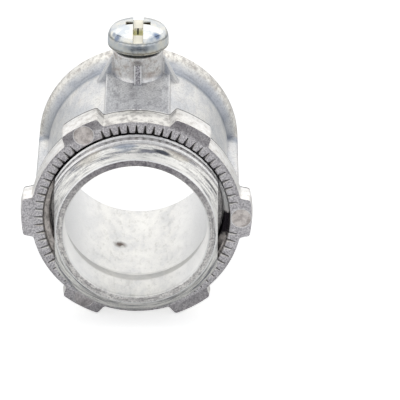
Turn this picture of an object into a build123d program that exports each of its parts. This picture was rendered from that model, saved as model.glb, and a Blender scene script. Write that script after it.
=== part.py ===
# Set-screw connector for thin-wall conduit, three-quarter-inch trade size, with its locknut.
# The conduit's axis is Y. The origin is the centre of the shoulder face that seats on the box wall.
# The threaded nipple points to -Y, the conduit enters from +Y, and the set screw stands up along +Z.
# Millimetres throughout.
from build123d import *
import math
import os

# Conduit socket
tube_od = 23.42
socket_clearance = 0.19
socket_r = tube_od / 2 + socket_clearance
barrel_wall = 1.40
barrel_r = socket_r + barrel_wall
wall_middle_r = socket_r + barrel_wall / 2
body_length = 22.65
socket_stop = 0.75
stop_taper = 0.80
mouth_depth = 1.25
mouth_flare = 0.75

# Throat that the wires pass through
throat_r = 10.30
throat_lip = 0.30
bell_start = 5.00
bell_length = 2.40
bell_rise = 0.43

# Threaded nipple
nipple_length = 8.95
thread_r = 13.10
tip_wall = 1.05
tip_lead = 1.20
neck_length = 0.90
neck_depth = 0.80
flat_half_width = 11.57

# Shoulder that bears on the box wall
shoulder_r = 14.60
shoulder_width = 1.10
shoulder_edge = 0.30
shoulder_slope = 0.90

# Flared collar round the conduit end
collar_rise = 1.48
collar_width = 1.70
collar_flank = 1.60
collar_hollow = 1.20
collar_round = 0.70
rear_edge = 0.35

# Side fins along the parting line
fin_reach = 14.75
fin_tip = 2.40
fin_root = 3.20
fin_edge = 0.45

# Screw boss, its webs, the flat in front of it and the trimmed gate
boss_setback = 6.40
boss_y = body_length - boss_setback
boss_r = 3.65
boss_top = 17.25
boss_blend = 1.15
boss_edge = 0.30
web_thickness = 1.00
web_foot = 2.30
web_foot_rise = 0.10
web_drop = 1.15
pad_half_width = 4.60
pad_rise = 0.20
pad_lean = 0.30
gate_width = 1.05
gate_proud = 1.15
gate_drop = 0.65

# Set screw
screw_r = 2.41
screw_clearance = 0.04
screw_length = 5.85
screw_gap = 0.75
screw_point = 0.80
head_r = 4.45
head_side = 1.00
head_shoulder = 0.55
head_shoulder_rise = 1.50
head_crown = 0.95
head_edge = 0.20
crown_blend = 0.60
slot_width = 1.50
slot_depth = 1.58
recess_width = 1.30
recess_reach = 2.00
pocket_reach = 1.30
pocket_depth = 1.20
pocket_taper = 0.50

# Length by which every cutter runs past the metal
overcut = 1.00

# Locknut
nut_thickness = 4.07
nut_gap = 0.31
nut_clearance = 0.10
nut_ring_wall = 1.90
nut_draft_angle = 5.0
lug_count = 6
lug_height = 1.35
lug_tip_angle = 9.9
lug_root_angle = 12.0
lug_round = 0.45
lug_fillet = 0.40
nut_mouth = 0.25
tooth_pitch_angle = 5.0
tooth_width = 0.50
tooth_depth = 0.42
tooth_reach = 1.40
tooth_mouth_share = 1.25
tooth_runout_share = 0.45
ejector_r = 1.42
ejector_sink = 0.15
ejector_count = 3

# The plane through the seat face, seen from the nipple's side, with X to the right and Z up
facing_front = Plane(origin=(0, 0, 0), x_dir=(1, 0, 0), z_dir=(0, -1, 0))


def revolved(corners):
    """Turn a closed outline of (radius, place along Y, corner radius) once about the Y axis."""
    points = [(radius, along) for radius, along, _ in corners]
    radii = [corner for _, _, corner in corners]
    outline = FilletPolyline(*points, radius=radii, close=True)
    return revolve(make_face(outline), Axis.Y)


def body_shell():
    """The nipple, shoulder, barrel and collar as one turned form with its bore."""
    collar_r = barrel_r + collar_rise
    neck_r = thread_r - neck_depth
    tip_r = throat_r + tip_wall
    flank_start = body_length - collar_width - collar_flank
    flank_end = body_length - collar_width
    slope_end = shoulder_width + shoulder_slope
    bell_end = bell_start + bell_length
    return revolved([
        (throat_r, -nipple_length, throat_lip),
        (tip_r, -nipple_length, 0),
        (thread_r, -nipple_length + tip_lead, 0),
        (thread_r, -neck_length, 0),
        (neck_r, -neck_length, 0),
        (neck_r, 0, 0),
        (shoulder_r, 0, shoulder_edge),
        (shoulder_r, shoulder_width, shoulder_edge),
        (barrel_r, slope_end, shoulder_slope / 2),
        (barrel_r, flank_start, collar_hollow),
        (collar_r, flank_end, collar_round),
        (collar_r, body_length, rear_edge),
        (socket_r + mouth_flare, body_length, 0),
        (socket_r, body_length - mouth_depth, mouth_depth),
        (socket_r, socket_stop + stop_taper, 0),
        (tube_od / 2, socket_stop, 0),
        (throat_r + bell_rise, bell_end - nipple_length, 0),
        (throat_r, bell_start - nipple_length, bell_length / 2),
    ])


def nipple_flats():
    """The two slabs of thread that are missing at the parting line, three and nine o'clock."""
    depth = thread_r - flat_half_width + overcut
    length = nipple_length - neck_length
    slab = Box(depth, length, 2 * thread_r, align=(Align.MIN, Align.MAX, Align.CENTER))
    right = Pos(flat_half_width, -neck_length, 0) * slab
    return [right, mirror(right, Plane.YZ)]


def side_fins():
    """The fins that run along the parting line from the shoulder to the collar."""
    half_root = fin_root / 2
    half_tip = fin_tip / 2
    corners = [
        (wall_middle_r, -half_root),
        (fin_reach, -half_tip),
        (fin_reach, half_tip),
        (wall_middle_r, half_root),
    ]
    outline = FilletPolyline(*corners, radius=[0, fin_edge, fin_edge, 0], close=True)
    section = facing_front * make_face(outline)
    length = body_length - collar_width
    right = extrude(section, amount=-length)
    return [right, mirror(right, Plane.YZ)]


def flat_pad():
    """The flat in front of the boss, with leaning sides, which runs down to the shoulder."""
    top = barrel_r + pad_rise
    half_foot = pad_half_width + pad_lean
    foot = math.sqrt(wall_middle_r ** 2 - half_foot ** 2)
    corners = [(-half_foot, foot), (half_foot, foot), (pad_half_width, top), (-pad_half_width, top)]
    outline = make_face(Polyline(*corners, close=True)) - Circle(wall_middle_r)
    return extrude(facing_front * outline, amount=-boss_y)


def boss_webs():
    """The thin web across the barrel that steadies the boss on both sides."""
    foot = boss_r + web_foot
    reach = math.sqrt(wall_middle_r ** 2 - foot ** 2)
    heel = math.sqrt(barrel_r ** 2 - foot ** 2) + web_foot_rise
    shoulder = boss_r + boss_edge / 2
    corners = [(-foot, reach), (foot, reach), (foot, heel), (shoulder, boss_top - web_drop)]
    corners += [(-shoulder, boss_top - web_drop), (-foot, heel)]
    outline = make_face(Polyline(*corners, close=True)) - Circle(wall_middle_r)
    section = Pos(0, boss_y, 0) * (facing_front * outline)
    return extrude(section, amount=web_thickness / 2, both=True)


def gate_stub():
    """The trimmed gate, a narrow bar that stands on the front of the boss."""
    height = boss_top - gate_drop - wall_middle_r
    depth = boss_r + gate_proud
    bar = Box(gate_width, depth, height, align=(Align.CENTER, Align.MAX, Align.MIN))
    return Pos(0, boss_y, wall_middle_r) * bar


def connector_body():
    """The one-piece casting."""
    body = body_shell() - nipple_flats()
    body = body + side_fins()
    boss = Pos(0, boss_y, wall_middle_r) * Cylinder(
        boss_r, boss_top - wall_middle_r, align=(Align.CENTER, Align.CENTER, Align.MIN)
    )
    boss = fillet(boss.edges().group_by(Axis.Z)[-1], boss_edge)
    body = body + boss
    seam = [
        edge for edge in body.edges()
        if edge.geom_type != GeomType.LINE
        and abs(math.hypot(edge.center().X, edge.center().Y - boss_y) - boss_r) < boss_r / 2
        and barrel_r - barrel_wall < edge.center().Z < boss_top - boss_edge * 2
        and edge.bounding_box().size.Z < barrel_wall
    ]
    body = fillet(seam, boss_blend)
    body = body + flat_pad() + boss_webs() + gate_stub()
    hole_r = screw_r + screw_clearance
    hole = Pos(0, boss_y, 0) * Cylinder(hole_r, 2 * boss_top, align=(Align.CENTER, Align.CENTER, Align.MIN))
    return body - hole


def set_screw():
    """Pan-head screw with a slot and a cross recess, backed out by its gap above the boss."""
    crown_r = head_r - head_shoulder
    crown_start = head_side + head_shoulder_rise
    crown = crown_start + head_crown
    side = Line((head_r, 0), (head_r, head_side))
    shoulder = TangentArc((head_r, head_side), (crown_r, crown_start), tangent=(0, 1))
    dome_r = (crown_r ** 2 + head_crown ** 2) / (2 * head_crown)
    half_up = crown - dome_r + math.sqrt(dome_r ** 2 - (crown_r / 2) ** 2)
    dome = ThreePointArc((crown_r, crown_start), (crown_r / 2, half_up), (0, crown))
    rest = Polyline(
        (0, crown),
        (0, -screw_length),
        (screw_r - screw_point, -screw_length),
        (screw_r, screw_point - screw_length),
        (screw_r, 0),
        (head_r, 0),
    )
    section = Plane.XZ * make_face(Curve([side, shoulder, dome, rest]))
    screw = revolve(section, Axis.Z)
    circles = screw.edges().filter_by(GeomType.CIRCLE)
    rim = circles.filter_by(lambda edge: edge.radius > screw_r + head_edge and edge.center().Z < head_edge)
    screw = fillet(rim, head_edge)
    circles = screw.edges().filter_by(GeomType.CIRCLE)
    crease = circles.filter_by(lambda edge: abs(edge.center().Z - crown_start) < head_edge)
    screw = fillet(crease, crown_blend)
    slot_floor = crown - slot_depth
    slot = Pos(0, 0, slot_floor) * Box(
        slot_width, 3 * head_r, 2 * slot_depth, align=(Align.CENTER, Align.CENTER, Align.MIN)
    )
    wings = loft([
        Pos(0, 0, slot_floor) * Rectangle(slot_width, recess_width / 2),
        Pos(0, 0, crown) * Rectangle(2 * recess_reach, recess_width),
    ])
    pocket = loft([
        Pos(0, 0, slot_floor - pocket_depth) * Rectangle(
            slot_width * pocket_taper, 2 * pocket_reach * pocket_taper
        ),
        Pos(0, 0, slot_floor) * Rectangle(slot_width, 2 * pocket_reach),
    ])
    screw = screw - slot - wings - pocket
    return Pos(0, boss_y, boss_top + screw_gap) * screw


def nut_lug():
    """One lug, wider at its root than at its tip, drawn in the nut's plane and standing on the ring."""
    ring_r = thread_r + nut_clearance + nut_ring_wall
    tip_r = ring_r + lug_height
    root_r = ring_r - nut_ring_wall / 2

    def polar(radius, angle):
        turn = math.radians(angle)
        return (radius * math.cos(turn), radius * math.sin(turn))

    sides = Polyline(
        polar(tip_r, lug_tip_angle),
        polar(ring_r, lug_root_angle),
        polar(root_r, lug_root_angle),
        polar(root_r, -lug_root_angle),
        polar(ring_r, -lug_root_angle),
        polar(tip_r, -lug_tip_angle),
    )
    crest = ThreePointArc(polar(tip_r, -lug_tip_angle), (tip_r, 0), polar(tip_r, lug_tip_angle))
    return make_face(Curve([sides, crest]))


def nut_tooth():
    """The cutter for one radial groove: a vee that runs out before the ring's outer edge."""
    bore_r = thread_r + nut_clearance

    def vee(radius, share):
        half = tooth_width / 2 * share
        deep = tooth_depth * share
        points = [(-half, 0), (half, 0), (0, deep)]
        plane = Plane(origin=(radius, 0, 0), x_dir=(0, 0, -1), z_dir=(1, 0, 0))
        return plane * make_face(Polyline(*points, close=True))

    mouth = vee(bore_r - nut_mouth, tooth_mouth_share)
    runout = vee(bore_r + tooth_reach, tooth_runout_share)
    return loft([mouth, runout])


def locknut():
    """Six-lug locknut with radial teeth on its front face, run up close to the shoulder."""
    bore_r = thread_r + nut_clearance
    ring_r = bore_r + nut_ring_wall
    outline = Circle(ring_r)
    for step in range(lug_count):
        outline = outline + Rot(0, 0, step * 360 / lug_count) * nut_lug()
    tips = [
        vertex for vertex in outline.vertices()
        if abs(math.hypot(vertex.X, vertex.Y) - ring_r - lug_height) < lug_height / 5
    ]
    outline = fillet(tips, lug_round)
    roots = [
        vertex for vertex in outline.vertices()
        if abs(math.hypot(vertex.X, vertex.Y) - ring_r) < lug_height / 5
    ]
    outline = fillet(roots, lug_fillet)
    widening = nut_thickness / 2 * math.tan(math.radians(nut_draft_angle))
    outline = offset(outline, widening, kind=Kind.ARC)
    middle = facing_front.offset(nut_thickness / 2) * outline
    front_half = extrude(middle, amount=nut_thickness / 2, taper=nut_draft_angle)
    rear_half = extrude(middle, amount=-nut_thickness / 2, taper=nut_draft_angle)
    nut = front_half + rear_half
    bore = revolved([
        (0, overcut, 0),
        (0, -nut_thickness - overcut, 0),
        (bore_r + nut_mouth + overcut, -nut_thickness - overcut, 0),
        (bore_r, -nut_thickness + nut_mouth, 0),
        (bore_r, -nut_mouth, 0),
        (bore_r + nut_mouth + overcut, overcut, 0),
    ])
    nut = nut - bore
    disc_at = bore_r + (nut_ring_wall + lug_height + nut_mouth) / 2
    disc = Pos(disc_at, -nut_thickness + ejector_sink, 0) * Rot(90, 0, 0) * Cylinder(
        ejector_r, overcut, align=(Align.CENTER, Align.CENTER, Align.MIN)
    )
    disc_step = 360 / ejector_count
    cutters = [Rot(0, step * disc_step, 0) * disc for step in range(ejector_count)]
    hidden = math.degrees(math.asin(ejector_r / disc_at))
    tooth = Pos(0, -nut_thickness, 0) * nut_tooth()
    for step in range(round(360 / tooth_pitch_angle)):
        angle = step * tooth_pitch_angle
        off_disc = abs((angle + disc_step / 2) % disc_step - disc_step / 2)
        if off_disc > hidden:
            cutters.append(Rot(0, angle, 0) * tooth)
    nut = nut - cutters
    return Pos(0, -nut_gap, 0) * nut


os.makedirs("parts", exist_ok=True)
parts = {
    "connector_body": connector_body(),
    "locknut": locknut(),
    "set_screw": set_screw(),
}
for name, solid in parts.items():
    export_step(solid, f"parts/{name}.step")
    print(name, "volume", round(solid.volume, 1), "mm3")
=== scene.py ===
# %% [markdown]
# A set-screw connector for thin-wall conduit. The real thing is three pieces: a zinc die casting, a
# zinc die-cast locknut and a plated steel screw. This lesson loads the engineering model as a fixed
# frame, cuts the threads that it leaves plain, and gives each piece its finish.

# %% Load the frame
import math

import bpy
from mathutils import Matrix, Vector


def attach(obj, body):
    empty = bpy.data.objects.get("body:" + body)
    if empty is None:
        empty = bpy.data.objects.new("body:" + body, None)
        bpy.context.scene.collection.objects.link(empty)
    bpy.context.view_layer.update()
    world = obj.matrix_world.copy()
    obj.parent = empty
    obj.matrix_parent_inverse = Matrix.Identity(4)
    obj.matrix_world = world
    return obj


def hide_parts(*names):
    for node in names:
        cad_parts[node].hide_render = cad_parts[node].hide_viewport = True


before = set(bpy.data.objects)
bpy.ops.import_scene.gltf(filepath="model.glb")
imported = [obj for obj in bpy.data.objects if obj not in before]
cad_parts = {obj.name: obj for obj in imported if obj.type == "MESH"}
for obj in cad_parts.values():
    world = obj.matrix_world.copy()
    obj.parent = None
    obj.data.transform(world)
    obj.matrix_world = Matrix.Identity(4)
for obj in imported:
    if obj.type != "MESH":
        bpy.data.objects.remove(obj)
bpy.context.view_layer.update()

MM = 0.001
print("loaded", sorted(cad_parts))

# %% [markdown]
# The photograph looks down on the connector from the nipple's side. A long lens far away keeps the
# near and far rings almost the same size, as in the picture, so the camera stands half a metre off
# with a lens of 324 mm. A wide lens close by would swell the nipple. The two directions below were
# worked out from the centres of the rings.

# %% Camera
camera_place = Vector((5.583, -462.883, 232.446)) * MM
camera_forward = Vector((0.006615, 0.894179, -0.447660))
camera_right = Vector((0.999962, -0.003587, 0.007921))
camera_up = camera_right.cross(camera_forward)

camera_data = bpy.data.cameras.new("camera")
camera_data.lens = 324
camera_data.sensor_width = 36
camera_data.clip_start = 0.01
camera_data.clip_end = 20
camera = bpy.data.objects.new("camera", camera_data)
turn = Matrix((camera_right, camera_up, -camera_forward)).transposed()
camera.rotation_euler = turn.to_euler()
camera.location = camera_place
bpy.context.scene.collection.objects.link(camera)
bpy.context.scene.camera = camera
print("camera", [round(v, 4) for v in camera.location])

# %% [markdown]
# Every finish below is a small network of nodes. Four helpers keep the networks readable. One turns
# a colour as it looks on a screen, written in hex, into the linear values that light is reckoned
# in. One gives an empty network to fill. One adds a node with its settings and links: a setting
# with a hash sign is such a colour, and a link that names a whole node starts at the first output
# that the node has in use. The last gives the scale of a pattern from its size in millimetres, so
# that grain and clouds have the size that they have on the real casting.

# %% Values and helpers for materials


def linear(code):
    """An sRGB hex colour as the linear values that a shader takes."""
    channels = [int(code[i:i + 2], 16) / 255 for i in (1, 3, 5)]
    return [c / 12.92 if c <= 0.04045 else ((c + 0.055) / 1.055) ** 2.4 for c in channels] + [1.0]


def empty_tree(owner):
    """The network of a material or a world, with nothing in it yet."""
    owner.use_nodes = True
    owner.node_tree.nodes.clear()
    return owner.node_tree


def add(tree, kind, settings=None, links=None):
    """Add one node, set its properties, colour stops and sockets, and link its inputs."""
    node = tree.nodes.new(kind)
    for name, value in (settings or {}).items():
        if isinstance(value, str) and value.startswith("#"):
            value = linear(value)
        if name == "stops":
            stops = node.color_ramp.elements
            for number, (place, colour) in enumerate(value):
                stop = stops[number] if number < 2 else stops.new(place)
                stop.position, stop.color = place, linear(colour)
        elif isinstance(name, int) or name in node.inputs:
            node.inputs[name].default_value = value
        else:
            setattr(node, name, value)
    for name, source in (links or {}).items():
        if isinstance(source, bpy.types.Node):
            source = next(output for output in source.outputs if output.enabled)
        tree.links.new(source, node.inputs[name])
    return node


def per_mm(size):
    """The scale of a pattern on coordinates in metres, from its size in millimetres."""
    return 1 / (size * MM)


print("zinc grey in linear", [round(c, 3) for c in linear("#A9A8A5")])

# %% [markdown]
# The picture is a plain white product shot. The world looks white to the camera and in reflections,
# while the light that it throws on matt things is weaker, so that white paper doesn't burn out.
# Bare metal shows little but what it reflects, so this white surround is what makes the zinc pale.

# %% World
world = bpy.data.worlds.new("studio")
bpy.context.scene.world = world
tree = empty_tree(world)
path = add(tree, "ShaderNodeLightPath")
mirrored = add(tree, "ShaderNodeMath", {"operation": "MAXIMUM"},
               {0: path.outputs["Is Glossy Ray"], 1: path.outputs["Is Transmission Ray"]})
seen = add(tree, "ShaderNodeMath", {"operation": "MAXIMUM"},
           {0: path.outputs["Is Camera Ray"], 1: mirrored})
soft_light = add(tree, "ShaderNodeBackground", {"Color": "#F4F6FA", "Strength": 0.55})
white = add(tree, "ShaderNodeBackground", {"Color": (1, 1, 1, 1), "Strength": 1.0})
surround = add(tree, "ShaderNodeMixShader", links={0: seen, 1: soft_light, 2: white})
add(tree, "ShaderNodeOutputWorld", links={"Surface": surround})
print("world set")

# %% [markdown]
# The connector lies on a sheet of white paper. The paper is a matt surface that takes the soft
# shadow, with a little glow of its own that only the camera and reflections see. The glow brings it
# to the white of the picture. It glows less in reflections, so the undersides of the casting stay
# grey.

# %% Paper floor
bpy.ops.object.select_all(action="DESELECT")
floor_height = -15.55 * MM
bpy.ops.mesh.primitive_plane_add(size=6, location=(0, 0, floor_height))
floor = bpy.context.object
floor.name = "floor"
floor_paper = bpy.data.materials.new("white_paper_sweep")
tree = empty_tree(floor_paper)
path = add(tree, "ShaderNodeLightPath")
paper = add(tree, "ShaderNodeBsdfDiffuse", {"Color": "#E6E6E4"})
mirrored = add(tree, "ShaderNodeMath", {"operation": "MAXIMUM"},
               {0: path.outputs["Is Glossy Ray"], 1: path.outputs["Is Transmission Ray"]})
for_mirrors = add(tree, "ShaderNodeMath", {"operation": "MULTIPLY", 1: 0.15}, {0: mirrored})
for_camera = add(tree, "ShaderNodeMath", {"operation": "MULTIPLY_ADD", 1: 0.70},
                 {0: path.outputs["Is Camera Ray"], 2: for_mirrors})
glow = add(tree, "ShaderNodeEmission", {"Color": (1, 1, 1, 1)}, {"Strength": for_camera})
both = add(tree, "ShaderNodeAddShader", links={0: paper, 1: glow})
add(tree, "ShaderNodeOutputMaterial", links={"Surface": both})
floor.data.materials.append(floor_paper)
print("floor at", round(floor.location.z / MM, 2), "mm")

# %% [markdown]
# One wide lamp hangs above and a little behind, like a softbox. It gives the tops of the rings
# their brighter line. It is kept weak, because the white surround already lights the metal fully.

# %% Softbox
softbox_data = bpy.data.lights.new("softbox", "AREA")
softbox_data.shape = "RECTANGLE"
softbox_data.size, softbox_data.size_y = 0.90, 0.70
softbox_data.energy = 0.6
softbox_data.color = linear("#FFFDF8")[:3]
softbox = bpy.data.objects.new("softbox", softbox_data)
softbox.location = (0, 0.16, 0.42)
softbox.rotation_euler = (-softbox.location).to_track_quat("-Z", "Y").to_euler()
bpy.context.scene.collection.objects.link(softbox)
print("softbox", softbox_data.energy, "W")

# %% [markdown]
# A photographer stands dark cards where a shiny thing would otherwise mirror plain white. Here one
# stands behind the camera and one on each side above. They put the blue-grey patches on the screw's
# head and on the round edges that face us. Real ones are painted board. No lamp lights these, so
# their paint is a plain emission of slate grey. The camera doesn't see them, and they throw no
# shadow.

# %% Dark cards
card_paper = bpy.data.materials.new("matt_painted_board")
tree = empty_tree(card_paper)
dim = add(tree, "ShaderNodeEmission", {"Color": "#3F4754", "Strength": 1.0})
add(tree, "ShaderNodeOutputMaterial", links={"Surface": dim})

for name, card_place, card_size in (
    ("card_behind_camera", (0.02, -0.80, 0.44), (0.62, 0.34)),
    ("card_left", (-0.66, 0.20, 0.66), (0.26, 0.34)),
    ("card_right", (0.66, 0.20, 0.66), (0.26, 0.34)),
):
    bpy.ops.object.select_all(action="DESELECT")
    bpy.ops.mesh.primitive_plane_add(size=1, location=card_place)
    card = bpy.context.object
    card.name = name
    card.scale = (*card_size, 1)
    card.rotation_euler = (-card.location).to_track_quat("-Z", "Y").to_euler()
    card.visible_camera = False
    card.visible_shadow = False
    card.data.materials.append(card_paper)
    print(name, card_size)

# %% [markdown]
# The engineering model keeps its threads as plain cylinders. Cutting them takes four helpers: one
# selects a thing, one copies a piece of the model to work on, one sweeps a triangle into a helix
# with a Screw modifier and closes it, and one takes a cutter away with a Boolean. The model's own
# shapes stay as they are. Faces that meet at less than 28 degrees are shaded smooth, so the flanks
# of a thread look round and its crest stays sharp.

# %% Helpers for threads
smooth_below = math.radians(28)


def only(thing):
    """Select one object and make it active, so that an operator acts on nothing else."""
    bpy.ops.object.select_all(action="DESELECT")
    thing.select_set(True)
    bpy.context.view_layer.objects.active = thing


def copy_of(node, name):
    """A copy of a CAD node with its corners merged, to work on."""
    made = bpy.data.objects.new(name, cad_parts[node].data.copy())
    bpy.context.scene.collection.objects.link(made)
    only(made)
    if made.data.has_custom_normals:
        bpy.ops.mesh.customdata_custom_splitnormals_clear()
    bpy.ops.object.mode_set(mode="EDIT")
    bpy.ops.mesh.select_all(action="SELECT")
    bpy.ops.mesh.remove_doubles(threshold=0.0002 * MM)
    bpy.ops.object.mode_set(mode="OBJECT")
    return made


def helix(name, section, pitch, turns, axis, start, steps):
    """Sweep a triangle (radius, place along the axis) into a right-hand helix about Y or Z."""
    bpy.ops.object.select_all(action="DESELECT")
    bpy.ops.mesh.primitive_circle_add(vertices=3, fill_type="NOTHING", radius=MM)
    made = bpy.context.object
    made.name = name
    for corner, (radius, along) in zip(made.data.vertices, section):
        flat_place = (radius, along + start, 0) if axis == "Y" else (radius, 0, along + start)
        corner.co = Vector(flat_place) * MM
    sweep = made.modifiers.new("sweep", "SCREW")
    sweep.axis = axis
    sweep.angle = math.tau
    sweep.screw_offset = pitch * MM
    sweep.iterations = turns
    sweep.steps = sweep.render_steps = steps
    sweep.use_merge_vertices = False
    only(made)
    bpy.ops.object.modifier_apply(modifier="sweep")
    bpy.ops.object.mode_set(mode="EDIT")
    bpy.ops.mesh.select_all(action="SELECT")
    bpy.ops.mesh.remove_doubles(threshold=0.0005 * MM)
    bpy.ops.mesh.select_all(action="DESELECT")
    bpy.ops.mesh.select_mode(type="EDGE")
    bpy.ops.mesh.select_non_manifold(extend=False, use_boundary=True)
    bpy.ops.mesh.fill()
    bpy.ops.mesh.select_all(action="SELECT")
    bpy.ops.mesh.normals_make_consistent(inside=False)
    bpy.ops.object.mode_set(mode="OBJECT")
    return made


def carve(target, cutter):
    """Take the cutter away from the target with a Boolean, then remove the cutter."""
    only(target)
    step = target.modifiers.new("carve", "BOOLEAN")
    step.operation = "DIFFERENCE"
    step.solver = "EXACT"
    step.object = cutter
    bpy.ops.object.modifier_apply(modifier="carve")
    bpy.data.objects.remove(cutter)


print("faces smooth below", round(math.degrees(smooth_below)), "degrees")

# %% [markdown]
# The nipple's thread is straight, fourteen to the inch. It could be a bump pattern, but then its
# outline would stay smooth and its roots wouldn't be dark. So the casting is copied and a helical
# vee is cut from it. The vee's widest side lies beyond the crests, so that the cut comes out clean.

# %% Cut the nipple's thread
thread_pitch = 25.4 / 14
crest_radius = 13.10
root_radius = 12.40
half_groove = 0.42
groove_at_top = -6.45
quarter_pitch = thread_pitch / 4
beyond = 0.40
mouth_radius = crest_radius + beyond
half_mouth = half_groove * (mouth_radius - root_radius) / (crest_radius - root_radius)
steps_round = 96

casting = copy_of("connector_body", "threaded_casting")
groove = helix(
    "groove",
    [(root_radius, 0), (mouth_radius, half_mouth), (mouth_radius, -half_mouth)],
    thread_pitch, 6, "Y", groove_at_top + quarter_pitch - 3 * thread_pitch, steps_round,
)
carve(casting, groove)
only(casting)
bpy.ops.object.shade_smooth_by_angle(angle=smooth_below)
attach(casting, "body")
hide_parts("connector_body")
print("threaded casting", len(casting.data.polygons), "faces")

# %% [markdown]
# The locknut's own thread is a ridge that fills the nipple's groove with a little play. It is swept
# the same way, at the same phase, so the two mesh wherever the nut stands a whole pitch further
# out. On the real nut the first turn is cut away by the countersink, so the ridge is bisected to
# end a little behind the front face, and the gap in front of it stays dark.

# %% Locknut's inner thread
ridge_crest = root_radius + 0.12
nut_bore = 13.20
ridge_base = nut_bore + 0.15
half_base = half_groove + 0.02
nut_front = -4.38
nut_rear = -0.31
countersink = 0.55
rear_overrun = 0.12
ridge = helix(
    "locknut_thread",
    [(ridge_crest, 0), (ridge_base, half_base), (ridge_base, -half_base)],
    thread_pitch, 4, "Y", groove_at_top + quarter_pitch, steps_round,
)
only(ridge)
bpy.ops.object.mode_set(mode="EDIT")
for cut_place, front_side in ((nut_front + countersink, True), (nut_rear - rear_overrun, False)):
    bpy.ops.mesh.select_all(action="SELECT")
    bpy.ops.mesh.bisect(
        plane_co=(0, cut_place * MM, 0), plane_no=(0, 1, 0), use_fill=True,
        clear_inner=front_side, clear_outer=not front_side,
    )
bpy.ops.object.mode_set(mode="OBJECT")
bpy.ops.object.shade_smooth_by_angle(angle=smooth_below)
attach(ridge, "nut")
print("locknut thread", len(ridge.data.polygons), "faces")

# %% [markdown]
# The set screw has twenty-four threads to the inch. Only a turn or so shows in the gap under its
# head, and its end shows inside the bore. The same sweep and cut are used, about the screw's own
# axis, which stands up from the boss.

# %% Cut the set screw's thread
screw_pitch = 25.4 / 24
screw_root = 2.02
screw_mouth = 2.60
screw_half_mouth = 0.36
lowest_turn = 11.9
boss_axis = 16.25 * MM
screw = copy_of("set_screw", "threaded_screw")
groove = helix(
    "screw_groove",
    [(screw_root, 0), (screw_mouth, screw_half_mouth), (screw_mouth, -screw_half_mouth)],
    screw_pitch, 6, "Z", lowest_turn, steps_round // 2,
)
groove.location = (0, boss_axis, 0)
only(groove)
bpy.ops.object.transform_apply(location=True, rotation=True, scale=True)
carve(screw, groove)
only(screw)
bpy.ops.object.shade_smooth_by_angle(angle=smooth_below)
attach(screw, "screw")
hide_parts("set_screw")
print("threaded screw", len(screw.data.polygons), "faces")

# %% [markdown]
# The body is zinc alloy, die cast and left bare. A new casting is satin and cloudy: the melt chills
# in swirls against the steel die, so pale cream and blue-grey lie side by side. The faces that were
# trimmed or ground, and the sand-like flat of the die, are grey and granular. One material could be
# put on each face by hand, but the solid is one piece, so masks worked out from the place and the
# direction of the surface lay the finishes where they belong. A helper gives what they all start
# from: the place, its three coordinates, the way that the surface faces, and how far a point is
# from the axis and from the middle plane.

# %% Casting: where things are


def places_on(tree):
    """The sockets and nodes that a casting's masks are worked out from."""
    where = add(tree, "ShaderNodeTexCoord")
    place = where.outputs["Object"]
    spot = add(tree, "ShaderNodeSeparateXYZ", links={0: place})
    x, y, z = (spot.outputs[axis] for axis in "XYZ")
    facing = add(tree, "ShaderNodeSeparateXYZ", links={0: where.outputs["Normal"]})
    across = add(tree, "ShaderNodeCombineXYZ", links={"X": x, "Z": z})
    radius = add(tree, "ShaderNodeVectorMath", {"operation": "LENGTH"}, {0: across})
    sideways = add(tree, "ShaderNodeMath", {"operation": "ABSOLUTE"}, {0: x})
    return place, x, y, z, facing, radius, sideways


zinc = bpy.data.materials.new("zinc_alloy_as_die_cast")
tree = empty_tree(zinc)
place, x, y, z, facing, radius, sideways = places_on(tree)

inside = add(tree, "ShaderNodeMapRange", {"From Min": 12.05 * MM, "From Max": 11.95 * MM},
             {"Value": radius})
to_front = add(tree, "ShaderNodeMapRange", {"From Min": -0.86, "From Max": -0.96},
               {"Value": facing.outputs["Y"]})
ahead = add(tree, "ShaderNodeMapRange", {"From Min": 1.0 * MM, "From Max": 0.5 * MM}, {"Value": y})
end_face = add(tree, "ShaderNodeMath", {"operation": "MULTIPLY"}, {0: to_front, 1: ahead})
past_seat = add(tree, "ShaderNodeMapRange", {"From Min": -0.7 * MM, "From Max": -1.0 * MM},
                {"Value": y})
outside = add(tree, "ShaderNodeMapRange", {"From Min": 11.0 * MM, "From Max": 11.2 * MM},
              {"Value": radius})
nipple = add(tree, "ShaderNodeMath", {"operation": "MULTIPLY"}, {0: past_seat, 1: outside})
print("masks for the bore, the end face and the nipple")

# %% [markdown]
# The flat in front of the boss is a small form on the barrel, so its mask is a box in the part's
# own millimetres: the points that face up, lie at its height and are within its width and length.
# Its sides fade over more than a tenth of a millimetre, because a hard edge would look like paint.

# %% Casting: where the flat in front of the boss is
upward = add(tree, "ShaderNodeMapRange", {"From Min": 0.93, "From Max": 0.98},
             {"Value": facing.outputs["Z"]})
flat_height = add(tree, "ShaderNodeMath", {"operation": "COMPARE", 1: 13.51 * MM, 2: 0.10 * MM},
                  {0: z})
flat_width = add(tree, "ShaderNodeMapRange", {"From Min": 4.75 * MM, "From Max": 4.60 * MM},
                 {"Value": sideways})
flat_length = add(tree, "ShaderNodeMapRange", {"From Min": 16.0 * MM, "From Max": 15.6 * MM},
                  {"Value": y})
flat_top = add(tree, "ShaderNodeMath", {"operation": "MULTIPLY"}, {0: upward, 1: flat_height})
flat_area = add(tree, "ShaderNodeMath", {"operation": "MULTIPLY"}, {0: flat_width, 1: flat_length})
flat = add(tree, "ShaderNodeMath", {"operation": "MULTIPLY"}, {0: flat_top, 1: flat_area})
print("mask for the flat")

# %% [markdown]
# The boss is round, so its mask is a cylinder about the screw's axis: the distance from that axis
# in plan, and only above the flat. It fades out over half a millimetre where the foot blends into
# the barrel.

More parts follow.
